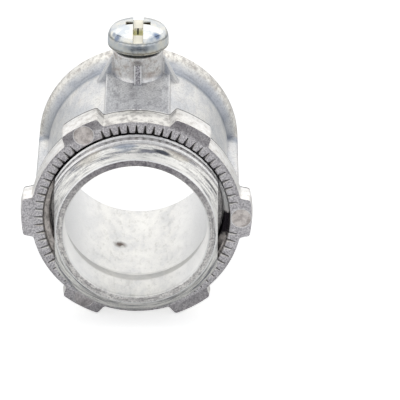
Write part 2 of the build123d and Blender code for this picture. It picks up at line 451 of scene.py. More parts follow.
# %% Casting: where the boss is
from_boss = add(tree, "ShaderNodeVectorMath", {"operation": "SUBTRACT", 1: (0, boss_axis, 0)},
                {0: place})
level = add(tree, "ShaderNodeVectorMath", {"operation": "MULTIPLY", 1: (1, 1, 0)}, {0: from_boss})
boss_radius = add(tree, "ShaderNodeVectorMath", {"operation": "LENGTH"}, {0: level})
near_boss = add(tree, "ShaderNodeMapRange", {"From Min": 4.3 * MM, "From Max": 3.75 * MM},
                {"Value": boss_radius})
above_flat = add(tree, "ShaderNodeMapRange", {"From Min": 13.6 * MM, "From Max": 14.3 * MM},
                 {"Value": z})
boss = add(tree, "ShaderNodeMath", {"operation": "MULTIPLY"}, {0: near_boss, 1: above_flat})
print("mask for the boss")

# %% [markdown]
# The gate is where the melt came into the die, and a narrow upright stub of it is left on the front
# of the boss. Its mask is a box again, and a second mask marks its two side edges, which get a
# painted highlight.

# %% Casting: where the stub of the gate is
gate_width = add(tree, "ShaderNodeMapRange", {"From Min": 0.58 * MM, "From Max": 0.54 * MM},
                 {"Value": sideways})
gate_ahead = add(tree, "ShaderNodeMapRange", {"From Min": 11.70 * MM, "From Max": 11.55 * MM},
                 {"Value": y})
gate_proud = add(tree, "ShaderNodeMapRange", {"From Min": 13.55 * MM, "From Max": 13.75 * MM},
                 {"Value": z})
gate_area = add(tree, "ShaderNodeMath", {"operation": "MULTIPLY"}, {0: gate_width, 1: gate_proud})
gate = add(tree, "ShaderNodeMath", {"operation": "MULTIPLY"}, {0: gate_area, 1: gate_ahead})
# Painted highlight on the gate stub's two side edges.
gate_side_highlight = add(tree, "ShaderNodeMapRange", {"From Min": 0.33 * MM, "From Max": 0.39 * MM},
                {"Value": sideways})
print("mask for the gate")

# %% [markdown]
# A thin web stands on each side of the boss. Its face has painted grey shade beside the boss and is
# paler further out, and its slanting edge has a painted highlight. The edge is found with a dot
# product, which says how far out along the slant's own direction a point lies.

# %% Casting: where the webs beside the boss are
web_depth = add(tree, "ShaderNodeMath", {"operation": "COMPARE", 1: boss_axis, 2: 0.56 * MM},
                {0: y})
web_side = add(tree, "ShaderNodeMapRange", {"From Min": 3.75 * MM, "From Max": 4.00 * MM},
               {"Value": sideways})
web_height = add(tree, "ShaderNodeMapRange", {"From Min": 11.9 * MM, "From Max": 12.5 * MM},
                 {"Value": z})
web_plan = add(tree, "ShaderNodeMath", {"operation": "MULTIPLY"}, {0: web_depth, 1: web_side})
web = add(tree, "ShaderNodeMath", {"operation": "MULTIPLY"}, {0: web_plan, 1: web_height})
side_and_height = add(tree, "ShaderNodeCombineXYZ", links={"X": sideways, "Z": z})
slant = add(tree, "ShaderNodeVectorMath", {"operation": "DOT_PRODUCT", 1: (0.886, 0, 0.464)},
            {0: side_and_height})
slant_edge = add(tree, "ShaderNodeMapRange", {"From Min": 10.54 * MM, "From Max": 10.62 * MM},
                 {"Value": slant})
# Painted highlight along the webs' slanting edges.
web_highlight_share = add(tree, "ShaderNodeMath", {"operation": "MULTIPLY", 1: 0.7}, {0: web})
web_edge_highlight = add(tree, "ShaderNodeMath", {"operation": "MULTIPLY"}, {0: web_highlight_share, 1: slant_edge})
print("masks for the webs and their edges")

# %% [markdown]
# Next come the patterns. Clouds of 2.6 mm, stains of 1 mm and a mottle of 0.7 mm are what the
# cooling swirls leave. They are drawn out to twice that along the axis, as the metal ran that way.
# The grit is the skin of the alloy, in truth under a tenth of a millimetre and drawn at a quarter
# of a millimetre, because finer grains wouldn't show in the render.

# %% Casting: clouds, stains, mottle and grit
drawn_out = add(tree, "ShaderNodeMapping", {"Scale": (1, 0.45, 1)}, {"Vector": place})
clouds = add(tree, "ShaderNodeTexNoise", {"Scale": per_mm(2.6), "Detail": 6, "Roughness": 0.68},
             {"Vector": drawn_out})
stains = add(tree, "ShaderNodeTexNoise", {"Scale": per_mm(1.0), "Detail": 5, "Roughness": 0.72},
             {"Vector": drawn_out})
grit = add(tree, "ShaderNodeTexNoise", {"Scale": per_mm(0.25), "Detail": 2, "Roughness": 0.6},
           {"Vector": place})
mottle = add(tree, "ShaderNodeTexNoise", {"Scale": per_mm(0.7), "Detail": 3, "Roughness": 0.6},
             {"Vector": drawn_out})
print("four patterns in the skin")

# %% [markdown]
# Two more patterns are tool marks. On the nipple the noise is stretched round the axis, as the
# thread tool has dragged the metal that way: its features are a third of a millimetre long on Y and
# 7 mm across. On the end face it is stretched along rings, which the trimming tool scored. The
# distance from the axis is its first coordinate, so it changes fast from ring to ring and slowly
# along one. The rings are finer in truth than the 0.24 mm drawn here.

# %% Casting: drag marks and scored rings
round_axis = add(tree, "ShaderNodeMapping", {"Scale": (150, 3000, 150)}, {"Vector": place})
drag = add(tree, "ShaderNodeTexNoise", {"Scale": 1.0, "Detail": 6, "Roughness": 0.78},
           {"Vector": round_axis})
ring_place = add(tree, "ShaderNodeCombineXYZ", links={"X": radius, "Y": x, "Z": z})
ring_scale = add(tree, "ShaderNodeMapping", {"Scale": (per_mm(0.24), per_mm(3.5), per_mm(3.5))},
                 {"Vector": ring_place})
scoring = add(tree, "ShaderNodeTexNoise", {"Scale": 1.0, "Detail": 3, "Roughness": 0.6},
              {"Vector": ring_scale})
print("two patterns of tool marks")

# %% [markdown]
# The barrel is pale grey with soft clouds, the collar's rim is creamier and more mottled, and the
# hollow below the rim has a painted blue-grey shade. A few tan stains are spread over both. Each
# colour is laid over the last by a Mix node, whose share is one of the masks.

# %% Casting: colours of the barrel and the collar
skin = add(tree, "ShaderNodeValToRGB",
           {"stops": [(0.38, "#D4D6D9"), (0.50, "#E4E4E4"), (0.60, "#EFEEEB")]}, {0: clouds})
cream = add(tree, "ShaderNodeValToRGB",
            {"stops": [(0.36, "#CBC7C2"), (0.48, "#E4E1DB"), (0.60, "#F9F7F1")]}, {0: mottle})
on_collar = add(tree, "ShaderNodeMapRange", {"From Min": 14.0 * MM, "From Max": 14.5 * MM},
                {"Value": radius})
far_back = add(tree, "ShaderNodeMapRange", {"From Min": 19.5 * MM, "From Max": 20.2 * MM},
               {"Value": y})
collar = add(tree, "ShaderNodeMath", {"operation": "MULTIPLY"}, {0: on_collar, 1: far_back})
colour = add(tree, "ShaderNodeMix", {"data_type": "RGBA"}, {0: collar, 6: skin, 7: cream})
stained = add(tree, "ShaderNodeMapRange", {"From Min": 0.54, "From Max": 0.76, "To Max": 0.35},
              {"Value": stains})
colour = add(tree, "ShaderNodeMix", {"data_type": "RGBA", 7: "#BDB2A4"}, {0: stained, 6: colour})

# Painted blue-grey shade in the hollow below the collar's rim.
along_hollow = add(tree, "ShaderNodeMapRange", {"From Min": 17.6 * MM, "From Max": 21.4 * MM},
                   {"Value": y})
hollow_shade = add(tree, "ShaderNodeValToRGB", {"stops": [
    (0.00, "#FFFFFF"), (0.30, "#C0C6D0"), (0.52, "#CACED6"), (0.85, "#FFFFFF"),
]}, {0: along_hollow})
on_outside = add(tree, "ShaderNodeMapRange", {"From Min": 12.6 * MM, "From Max": 13.0 * MM},
                 {"Value": radius})
colour = add(tree, "ShaderNodeMix", {"data_type": "RGBA", "blend_type": "MULTIPLY"},
             {0: on_outside, 6: colour, 7: hollow_shade})
print("barrel and collar")

# %% [markdown]
# The bore is paler than the outside. The steel core that made it was smooth, and the paleness is
# also painted light from the white surround shining in. It has faint wrinkles where the metal
# chilled against it. Its sides are painted almost white, a painted highlight. The step where the
# throat widens is a band of painted shade.

# %% Casting: colours of the bore
# The bore's pale tone is partly painted light from the white surround.
bore_tone = add(tree, "ShaderNodeValToRGB",
                {"stops": [(0.38, "#E2E2E1"), (0.50, "#EFEEEB"), (0.62, "#F8F7F3")]}, {0: clouds})
wrinkles = add(tree, "ShaderNodeValToRGB", {"stops": [(0.34, "#F0F0EF"), (0.46, "#FFFFFF")]},
               {0: mottle})
bore_skin = add(tree, "ShaderNodeMix", {"data_type": "RGBA", "blend_type": "MULTIPLY", 0: 1.0},
                {6: bore_tone, 7: wrinkles})
# Painted highlight: the sides of the bore are painted almost white.
bore_side_highlight = add(tree, "ShaderNodeMapRange", {"From Min": 5.0 * MM, "From Max": 9.5 * MM},
                 {"Value": sideways})
bore_lit = add(tree, "ShaderNodeMix", {"data_type": "RGBA", 7: "#FFFFFF"},
               {0: bore_side_highlight, 6: bore_skin})
# Painted shade: a darker band where the throat widens.
along_bell = add(tree, "ShaderNodeMapRange", {"From Min": -4.6 * MM, "From Max": -0.4 * MM},
                 {"Value": y})
step_painted_shade = add(tree, "ShaderNodeValToRGB",
           {"stops": [(0.10, "#FFFFFF"), (0.24, "#D2D1CF"), (0.70, "#CBCBCB"), (0.78, "#FFFFFF")]},
           {0: along_bell})
bore_colour = add(tree, "ShaderNodeMix", {"data_type": "RGBA", "blend_type": "MULTIPLY", 0: 1.0},
                  {6: bore_lit, 7: step_painted_shade})
colour = add(tree, "ShaderNodeMix", {"data_type": "RGBA"}, {0: inside, 6: colour, 7: bore_colour})
print("bore")

# %% [markdown]
# The nipple shows bright streaks on grey, drawn round it by the drag marks, and is painted paler
# towards the locknut. Painted shade lies in the roots of its thread. The two flats have no thread,
# so they are kept out of the painted shade.

# %% Casting: colours of the nipple
worn = add(tree, "ShaderNodeValToRGB",
           {"stops": [(0.38, "#8E9098"), (0.45, "#DAD9D7"), (0.53, "#FFFEFA")]}, {0: drag})
threaded = add(tree, "ShaderNodeMapRange", {"From Min": -7.95 * MM, "From Max": -7.75 * MM},
               {"Value": y})
off_flats = add(tree, "ShaderNodeMapRange", {"From Min": 11.45 * MM, "From Max": 11.35 * MM},
                {"Value": sideways})
# Painted shade in the roots of the thread, off the flats.
root_depth = add(tree, "ShaderNodeMapRange", {"From Min": 12.78 * MM, "From Max": 12.66 * MM},
                 {"Value": radius})
root_place = add(tree, "ShaderNodeMath", {"operation": "MULTIPLY"}, {0: threaded, 1: off_flats})
root_shade = add(tree, "ShaderNodeMath", {"operation": "MULTIPLY"}, {0: root_place, 1: root_depth})
# Painted paler towards the locknut.
paler_near_nut = add(tree, "ShaderNodeMapRange",
               {"From Min": -7.3 * MM, "From Max": -6.7 * MM, "To Max": 0.65}, {"Value": y})
nipple_colour = add(tree, "ShaderNodeMix", {"data_type": "RGBA", 7: "#FFFFFF"},
                    {0: paler_near_nut, 6: worn})
print("nipple")

# %% [markdown]
# A few marks at the nipple's end are plain to see: a blue-grey patch, a dark streak in two pieces
# and two cream patches. Each is a squashed ball about a place, which is cheap to describe: a
# centre, a reach in each direction, a share and a colour. The drag marks break its edge, or it
# would look stamped.

# %% Casting: marks on the nipple's end
ragged = add(tree, "ShaderNodeMath", {"operation": "MULTIPLY_ADD", 1: 1.6, 2: -0.8}, {0: drag})
for mark_place, mark_reach, mark_share, mark_colour in (
    ((-1.6, -7.5, 12.9), (1.9, 0.70, 3.0), 0.75, "#A9B2C1"),
    ((1.6, -8.15, 12.5), (1.5, 0.17, 3.0), 0.80, "#6C7080"),
    ((3.6, -8.00, 12.1), (1.6, 0.19, 3.0), 0.95, "#484C58"),
    ((5.8, -7.7, 11.4), (1.7, 0.45, 3.0), 0.50, "#D8D0C0"),
    ((-6.5, -7.8, 10.6), (1.9, 0.50, 3.0), 0.50, "#D8D2C6"),
):
    from_mark = add(tree, "ShaderNodeVectorMath",
                    {"operation": "SUBTRACT", 1: [value * MM for value in mark_place]}, {0: place})
    in_mark = add(tree, "ShaderNodeVectorMath",
                  {"operation": "DIVIDE", 1: [value * MM for value in mark_reach]}, {0: from_mark})
    spread = add(tree, "ShaderNodeVectorMath", {"operation": "LENGTH"}, {0: in_mark})
    ragged_spread = add(tree, "ShaderNodeMath", {"operation": "ADD"}, {0: ragged, 1: spread})
    mark_mask = add(tree, "ShaderNodeMapRange",
                    {"From Min": 1.1, "From Max": 0.6, "To Max": mark_share},
                    {"Value": ragged_spread})
    nipple_colour = add(tree, "ShaderNodeMix", {"data_type": "RGBA", 7: mark_colour},
                        {0: mark_mask, 6: nipple_colour})
# The painted shade goes into the roots of the thread.
nipple_colour = add(tree, "ShaderNodeMix", {"data_type": "RGBA", 7: "#2A2A30"},
                    {0: root_shade, 6: nipple_colour})
colour = add(tree, "ShaderNodeMix", {"data_type": "RGBA"}, {0: nipple, 6: colour, 7: nipple_colour})
print("marks on the nipple's end")

# %% [markdown]
# The boss has a warm grey film on it. The flat in front of it is mottled and darkens towards the
# seat, and its two long edges have a painted highlight.

# %% Casting: colours of the boss and the flat
boss_tone = add(tree, "ShaderNodeValToRGB",
                {"stops": [(0.38, "#D6CFCB"), (0.50, "#E4E3E1"), (0.62, "#F0F0F0")]}, {0: clouds})
boss_stain = add(tree, "ShaderNodeValToRGB", {"stops": [(0.36, "#D8CFCA"), (0.52, "#FFFFFF")]},
                 {0: stains})
boss_colour = add(tree, "ShaderNodeMix", {"data_type": "RGBA", "blend_type": "MULTIPLY", 0: 1.0},
                  {6: boss_tone, 7: boss_stain})
colour = add(tree, "ShaderNodeMix", {"data_type": "RGBA"}, {0: boss, 6: colour, 7: boss_colour})

flat_tone = add(tree, "ShaderNodeValToRGB",
                {"stops": [(0.38, "#BDBDC1"), (0.50, "#DCDDDF"), (0.62, "#E9EAEB")]}, {0: stains})
# Painted highlight along the flat's two long edges.
flat_edge_highlight = add(tree, "ShaderNodeMapRange",
                {"From Min": 4.42 * MM, "From Max": 4.52 * MM, "To Max": 0.8}, {"Value": sideways})
flat_colour = add(tree, "ShaderNodeMix", {"data_type": "RGBA", 7: "#FFFFFF"},
                  {0: flat_edge_highlight, 6: flat_tone})
towards_seat = add(tree, "ShaderNodeMapRange", {"From Min": 12.0 * MM, "From Max": 3.0 * MM},
                   {"Value": y})
flat_fade = add(tree, "ShaderNodeMix",
                {"data_type": "RGBA", "blend_type": "MULTIPLY", 7: "#DEDEE0"},
                {0: towards_seat, 6: flat_colour})
colour = add(tree, "ShaderNodeMix", {"data_type": "RGBA"}, {0: flat, 6: colour, 7: flat_fade})
print("boss and flat")

# %% [markdown]
# The end face was trimmed and is dull. It is painted dark at the top, a painted reflection of the
# ground, and paler lower down. The scored rings lie on it and on the chamfer beside it, and a thin
# painted highlight runs round its outer edge, where the chamfer starts.

# %% Casting: colours of the end face
# Painted reflection of the ground: the end face is darker at the top and paler lower down.
face_top = add(tree, "ShaderNodeValToRGB", {"stops": [(0.40, "#908C92"), (0.60, "#B8B4B7")]},
               {0: mottle})
face_low = add(tree, "ShaderNodeValToRGB", {"stops": [(0.40, "#D8D5D4"), (0.60, "#F4F2EF")]},
               {0: mottle})
face_down = add(tree, "ShaderNodeMapRange", {"From Min": 10.5 * MM, "From Max": 2.0 * MM},
                {"Value": z})
face_tone = add(tree, "ShaderNodeMix", {"data_type": "RGBA"},
                {0: face_down, 6: face_top, 7: face_low})
colour = add(tree, "ShaderNodeMix", {"data_type": "RGBA"}, {0: end_face, 6: colour, 7: face_tone})
scored = add(tree, "ShaderNodeValToRGB", {"stops": [(0.36, "#808086"), (0.50, "#FFFFFF")]},
             {0: scoring})
past_thread = add(tree, "ShaderNodeMapRange", {"From Min": -7.9 * MM, "From Max": -8.1 * MM},
                  {"Value": y})
score_low = add(tree, "ShaderNodeMapRange",
                {"From Min": 8.0 * MM, "From Max": 0.0, "To Min": 0.25, "To Max": 0.6},
                {"Value": z})
score_place = add(tree, "ShaderNodeMath", {"operation": "MULTIPLY"}, {0: past_thread, 1: score_low})
not_bore = add(tree, "ShaderNodeMapRange", {"From Min": 10.4 * MM, "From Max": 10.6 * MM},
               {"Value": radius})
score_share = add(tree, "ShaderNodeMath", {"operation": "MULTIPLY"}, {0: score_place, 1: not_bore})
colour = add(tree, "ShaderNodeMix", {"data_type": "RGBA", "blend_type": "MULTIPLY"},
             {0: score_share, 6: colour, 7: scored})
# Painted highlight round the end face's outer edge.
rim_ring = add(tree, "ShaderNodeMath", {"operation": "COMPARE", 1: 11.38 * MM, 2: 0.09 * MM},
               {0: radius})
at_tip = add(tree, "ShaderNodeMath", {"operation": "LESS_THAN", 1: -8.80 * MM}, {0: y})
tip_edge_highlight = add(tree, "ShaderNodeMath", {"operation": "MULTIPLY"}, {0: rim_ring, 1: at_tip})
colour = add(tree, "ShaderNodeMix", {"data_type": "RGBA", 7: "#FFFFFF"}, {0: tip_edge_highlight, 6: colour})
print("end face")

# %% [markdown]
# The webs are painted blue-grey beside the boss, as painted shade, and paler further out. The change
# is gradual, so one mask that grows over a millimetre carries the one colour into the other.

# %% Casting: colours of the webs
# Painted blue-grey shade on the webs beside the boss.
web_tone = add(tree, "ShaderNodeMapRange", {"From Min": 4.1 * MM, "From Max": 5.2 * MM},
               {"Value": sideways})
web_colour = add(tree, "ShaderNodeMix", {"data_type": "RGBA", 6: "#BCC1C9", 7: "#E6E7E9"},
                 {0: web_tone})
colour = add(tree, "ShaderNodeMix", {"data_type": "RGBA"}, {0: web, 6: colour, 7: web_colour})
print("webs")

# %% [markdown]
# Dark specks sit where the skin is granular: a few on the outside, hardly any in the bore, and many
# on the flat, the gate and the end face. One brown pit, where a gas bubble came up, is in the bore.

# %% Casting: specks and a pit
rough_places = add(tree, "ShaderNodeMath", {"operation": "MAXIMUM"}, {0: end_face, 1: gate})
granular = add(tree, "ShaderNodeMath", {"operation": "MAXIMUM"}, {0: rough_places, 1: flat})
outer_specks = add(tree, "ShaderNodeMapRange", {"To Min": 0.28, "To Max": 0.06}, {"Value": inside})
rough_specks = add(tree, "ShaderNodeMath", {"operation": "MULTIPLY", 1: 0.48}, {0: granular})
speck_share = add(tree, "ShaderNodeMath", {"operation": "MAXIMUM"},
                  {0: outer_specks, 1: rough_specks})
specks = add(tree, "ShaderNodeValToRGB", {"stops": [(0.34, "#85858C"), (0.52, "#FFFFFF")]},
             {0: grit})
colour = add(tree, "ShaderNodeMix", {"data_type": "RGBA", "blend_type": "MULTIPLY"},
             {0: speck_share, 6: colour, 7: specks})

from_pit = add(tree, "ShaderNodeVectorMath",
               {"operation": "DISTANCE", 1: (-2.61 * MM, 9.78 * MM, -11.61 * MM)}, {0: place})
pit = add(tree, "ShaderNodeMapRange", {"From Min": 1.25 * MM, "From Max": 0.35 * MM},
          {"Value": from_pit})
pit_edge = add(tree, "ShaderNodeMapRange", {"From Min": 0.34, "From Max": 0.56}, {"Value": mottle})
pitted = add(tree, "ShaderNodeMath", {"operation": "MULTIPLY"}, {0: pit, 1: pit_edge})
colour = add(tree, "ShaderNodeMix", {"data_type": "RGBA", 7: "#5A4A40"}, {0: pitted, 6: colour})
print("specks and one pit")

# %% [markdown]
# Painted shade, with some dirt, gathers in the creases. It is found with ambient occlusion, which
# looks a short way round each point for other metal. It follows the real shape, so it also paints
# shade in the gap round the locknut wherever the nut stands. It would be too strong under the webs
# and on the nipple, so its share is less there.

# %% Casting: creases
# Painted shade in the creases, from ambient occlusion.
near_metal = add(tree, "ShaderNodeAmbientOcclusion", {"Distance": 0.9 * MM, "samples": 12})
crease = add(tree, "ShaderNodeValToRGB",
             {"stops": [(0.08, "#141318"), (0.28, "#767981"), (0.55, "#DADBE0"), (0.80, "#FFFFFF")]},
             {0: near_metal.outputs["AO"]})
beside_boss = add(tree, "ShaderNodeMath", {"operation": "COMPARE", 1: 15.4 * MM, 2: 1.6 * MM},
                  {0: y})
under_webs = add(tree, "ShaderNodeMapRange", {"From Min": 3.3 * MM, "From Max": 3.7 * MM},
                 {"Value": sideways})
high_up = add(tree, "ShaderNodeMapRange", {"From Min": 11.4 * MM, "From Max": 11.9 * MM},
              {"Value": z})
web_corner = add(tree, "ShaderNodeMath", {"operation": "MULTIPLY"}, {0: beside_boss, 1: under_webs})
open_corner = add(tree, "ShaderNodeMath", {"operation": "MULTIPLY"}, {0: web_corner, 1: high_up})
less_web = add(tree, "ShaderNodeMapRange", {"To Min": 1.0, "To Max": 0.25}, {"Value": open_corner})
open_front = add(tree, "ShaderNodeMath", {"operation": "MAXIMUM"}, {0: nipple, 1: end_face})
less_nipple = add(tree, "ShaderNodeMapRange", {"To Min": 1.0, "To Max": 0.3}, {"Value": open_front})
crease_share = add(tree, "ShaderNodeMath", {"operation": "MULTIPLY"}, {0: less_web, 1: less_nipple})
print("creases")

# %% [markdown]
# Beside the nipple's right-hand flat, the seat face can be seen through the gap, and its upper part
# is bare and pale. The crease's share is taken off there, and white goes on before the creases do.

# %% Casting: bare patch on the seat face
on_seat = add(tree, "ShaderNodeMath", {"operation": "COMPARE", 1: 0.0, 2: 0.25 * MM}, {0: y})
seat_right = add(tree, "ShaderNodeMapRange", {"From Min": 11.0 * MM, "From Max": 11.3 * MM},
                 {"Value": x})
seat_high = add(tree, "ShaderNodeMapRange", {"From Min": -1.2 * MM, "From Max": -0.8 * MM},
                {"Value": z})
seat_place = add(tree, "ShaderNodeMath", {"operation": "MULTIPLY"}, {0: on_seat, 1: seat_right})
bare_seat = add(tree, "ShaderNodeMath", {"operation": "MULTIPLY"}, {0: seat_place, 1: seat_high})
less_seat = add(tree, "ShaderNodeMath", {"operation": "SUBTRACT", 0: 1.0}, {1: bare_seat})
crease_share = add(tree, "ShaderNodeMath", {"operation": "MULTIPLY"},
                   {0: crease_share, 1: less_seat})
colour = add(tree, "ShaderNodeMix", {"data_type": "RGBA", 7: "#FFFFFF"}, {0: bare_seat, 6: colour})
colour = add(tree, "ShaderNodeMix", {"data_type": "RGBA", "blend_type": "MULTIPLY"},
             {0: crease_share, 6: colour, 7: crease})
print("bare patch, and creases laid")

# %% [markdown]
# The gate is where the metal came in. It was broken off, so its front is torn and coarse, with
# black pits between bright ridges, and its two side edges have a painted highlight. The webs'
# slanting edges have a painted highlight as well. These lie over the painted shade of the creases.

# %% Casting: torn gate and painted edge highlights
torn = add(tree, "ShaderNodeTexNoise", {"Scale": per_mm(0.16), "Detail": 4, "Roughness": 0.8},
           {"Vector": place})
gate_grain = add(tree, "ShaderNodeValToRGB", {"stops": [(0.40, "#4C4A54"), (0.60, "#F4F2F6")]},
                 {0: torn})
gate_colour = add(tree, "ShaderNodeMix", {"data_type": "RGBA", 7: "#FFFFFF"},
                  {0: gate_side_highlight, 6: gate_grain})
colour = add(tree, "ShaderNodeMix", {"data_type": "RGBA"}, {0: gate, 6: colour, 7: gate_colour})
colour = add(tree, "ShaderNodeMix", {"data_type": "RGBA", 7: "#FFFFFF"}, {0: web_edge_highlight, 6: colour})
print("gate and webs rubbed")

# %% [markdown]
# Last, the relief and the gloss. Die-cast skin is satin, about 0.34 in roughness. The boss is a
# little duller and the granular faces are duller still. A casting has no sharp edges, and a rounded
# one catches a bright line. Cutting that roundness into the mesh would take thousands of faces, so
# a Bevel node bends the surface's direction over the last 0.14 mm instead. On it go two low bumps,
# a few hundredths of a millimetre high: the grains and the waves of the skin.

# %% Casting: relief and shader
dull_boss = add(tree, "ShaderNodeMath", {"operation": "MULTIPLY_ADD", 1: 0.14, 2: 0.34}, {0: boss})
roughness = add(tree, "ShaderNodeMath", {"operation": "MULTIPLY_ADD", 1: 0.24},
                {0: granular, 2: dull_boss})
grain_height = add(tree, "ShaderNodeMapRange", {"To Min": 0.15, "To Max": 0.6}, {"Value": granular})
rounded = add(tree, "ShaderNodeBevel", {"Radius": 0.14 * MM, "samples": 6})
grain = add(tree, "ShaderNodeBump", {"Distance": 0.06 * MM},
            {"Height": grit, "Strength": grain_height, "Normal": rounded})
wave = add(tree, "ShaderNodeBump", {"Strength": 0.35, "Distance": 0.12 * MM},
           {"Height": stains, "Normal": grain})
metal = add(tree, "ShaderNodeBsdfPrincipled", {"Metallic": 1.0},
            {"Base Color": colour, "Roughness": roughness, "Normal": wave})
add(tree, "ShaderNodeOutputMaterial", links={"Surface": metal})
print("casting has", len(tree.nodes), "nodes")

# %% [markdown]
# The locknut is a casting of the same alloy. Its front face met the rough side of the die, so it is
# granular, and it is grey, with the grey painted darker than the sides as painted shade. The three
# round marks of the ejector pins are smoother and paler. The sides of its ring and lugs are pale and
# satin. Its bore is dull, with painted shade where the thread starts. As on the body, masks come
# first.

# %% Locknut: where the front and the bore are
nut_zinc = bpy.data.materials.new("zinc_alloy_as_die_cast_locknut")
tree = empty_tree(nut_zinc)
place, x, y, z, facing, radius, sideways = places_on(tree)
front = add(tree, "ShaderNodeMapRange", {"From Min": -0.55, "From Max": -0.80},
            {"Value": facing.outputs["Y"]})
bore = add(tree, "ShaderNodeMapRange", {"From Min": 13.45 * MM, "From Max": 13.35 * MM},
           {"Value": radius})
print("masks for the front and the bore")

# %% [markdown]
# The ejector pins stand at even angles, so their marks are found by turning one place round the
# axis. The third mark, at the lower left, hardly shows on the real nut, and its share is low.

# %% Locknut: where the ejector marks are
mark_circle = 14.95
marks = mark_ring_highlights = None
for turn_angle, shows in ((0, 1.0), (120, 0.3), (240, 1.0)):
    centre = Matrix.Rotation(math.radians(turn_angle), 4, "Y") @ Vector((mark_circle, nut_front, 0))
    centre *= MM
    away = add(tree, "ShaderNodeVectorMath", {"operation": "DISTANCE", 1: centre}, {0: place})
    mark = add(tree, "ShaderNodeMapRange",
               {"From Min": 1.50 * MM, "From Max": 1.40 * MM, "To Max": shows}, {"Value": away})
    # Painted highlight round the edge of each ejector mark.
    edge = add(tree, "ShaderNodeMath", {"operation": "COMPARE", 1: 1.46 * MM, 2: 0.06 * MM},
               {0: away})
    ring = add(tree, "ShaderNodeMath", {"operation": "MULTIPLY", 1: 0.7 * shows}, {0: edge})
    if marks is not None:
        mark = add(tree, "ShaderNodeMath", {"operation": "MAXIMUM"}, {0: marks, 1: mark})
        ring = add(tree, "ShaderNodeMath", {"operation": "MAXIMUM"}, {0: mark_ring_highlights, 1: ring})
    marks, mark_ring_highlights = mark, ring
    print("ejector mark at", [round(v / MM, 2) for v in centre])

# %% [markdown]
# The patterns are as on the body. The grit of the front is a little under a quarter of a
# millimetre, which is coarser than the real sand-like grain, so that it shows. The sides are
# mottled on top and painted nearly white on the flanks, a painted highlight. The front is painted
# darkest at the top as painted shade, paler lower down and palest in the band of teeth.

# %% Locknut: patterns, sides and front
clouds = add(tree, "ShaderNodeTexNoise", {"Scale": per_mm(2.6), "Detail": 5, "Roughness": 0.65},
             {"Vector": place})
mottle = add(tree, "ShaderNodeTexNoise", {"Scale": per_mm(0.9), "Detail": 4, "Roughness": 0.65},
             {"Vector": place})
grit = add(tree, "ShaderNodeTexNoise", {"Scale": per_mm(0.24), "Detail": 3, "Roughness": 0.7},
           {"Vector": place})
side_tone = add(tree, "ShaderNodeValToRGB",
                {"stops": [(0.38, "#B2AFAC"), (0.48, "#D4D2CE"), (0.58, "#E6E4DF")]}, {0: mottle})
# Painted highlight: the flanks of the ring are painted nearly white.
flank_highlight_share = add(tree, "ShaderNodeMapRange", {"From Min": 4.5 * MM, "From Max": 9.5 * MM},
                 {"Value": sideways})
flank_highlight_tone = add(tree, "ShaderNodeValToRGB", {"stops": [(0.36, "#E8E4DF"), (0.54, "#FFFEFC")]},
                 {0: mottle})
side_colour = add(tree, "ShaderNodeMix", {"data_type": "RGBA"},
                  {0: flank_highlight_share, 6: side_tone, 7: flank_highlight_tone})
# Painted shade: the front is darker than the sides, darkest at the top and paler lower down.
front_tone = add(tree, "ShaderNodeValToRGB", {"stops": [(0.38, "#AFABAF"), (0.60, "#D0CDCF")]},
                 {0: clouds})
lower_down = add(tree, "ShaderNodeMapRange",
                 {"From Min": 9.0 * MM, "From Max": 1.0 * MM, "To Max": 0.75}, {"Value": z})
not_lowest = add(tree, "ShaderNodeMapRange",
                 {"From Min": -10.0 * MM, "From Max": -4.0 * MM, "To Min": 0.15}, {"Value": z})
paler = add(tree, "ShaderNodeMath", {"operation": "MULTIPLY"}, {0: lower_down, 1: not_lowest})
tooth_band = add(tree, "ShaderNodeMapRange",
                 {"From Min": 15.3 * MM, "From Max": 14.7 * MM, "To Max": 0.75}, {"Value": radius})
pale_share = add(tree, "ShaderNodeMath", {"operation": "MAXIMUM"}, {0: paler, 1: tooth_band})
front_colour = add(tree, "ShaderNodeMix", {"data_type": "RGBA", 7: "#FFFDFF"},
                   {0: pale_share, 6: front_tone})
colour = add(tree, "ShaderNodeMix", {"data_type": "RGBA"},
             {0: front, 6: side_colour, 7: front_colour})
print("sides and front")

# %% [markdown]
# Over the front go the dark specks of its grain. The ejector marks come after them, because they
# are smoother, and each has a thin painted highlight round its edge.

# %% Locknut: specks and ejector marks
specks = add(tree, "ShaderNodeValToRGB",
             {"stops": [(0.34, "#7A787F"), (0.50, "#D2D1D4"), (0.62, "#FFFFFF")]}, {0: grit})
speck_share = add(tree, "ShaderNodeMapRange", {"To Min": 0.14, "To Max": 0.66}, {"Value": front})
colour = add(tree, "ShaderNodeMix", {"data_type": "RGBA", "blend_type": "MULTIPLY"},
             {0: speck_share, 6: colour, 7: specks})
disc_tone = add(tree, "ShaderNodeValToRGB", {"stops": [(0.38, "#C6BEBB"), (0.60, "#F4EEEB")]},
                {0: mottle})
colour = add(tree, "ShaderNodeMix", {"data_type": "RGBA"}, {0: marks, 6: colour, 7: disc_tone})
colour = add(tree, "ShaderNodeMix", {"data_type": "RGBA", 7: "#FFFFFF"}, {0: mark_ring_highlights, 6: colour})
print("specks and ejector marks")

# %% [markdown]
# The bore shows in the gaps beside the nipple's two flats. On the left it is a dull brownish grey.
# On the right it has a painted highlight above and painted black shade lower down. The border
# between them runs obliquely, so it is measured along a slanting direction, and the mottle makes it
# uneven. The painted shade lies in the shadow of the nipple's flat: ambient occlusion with a reach
# of 3 mm keeps it there, so it isn't seen when the nut is run off the nipple.

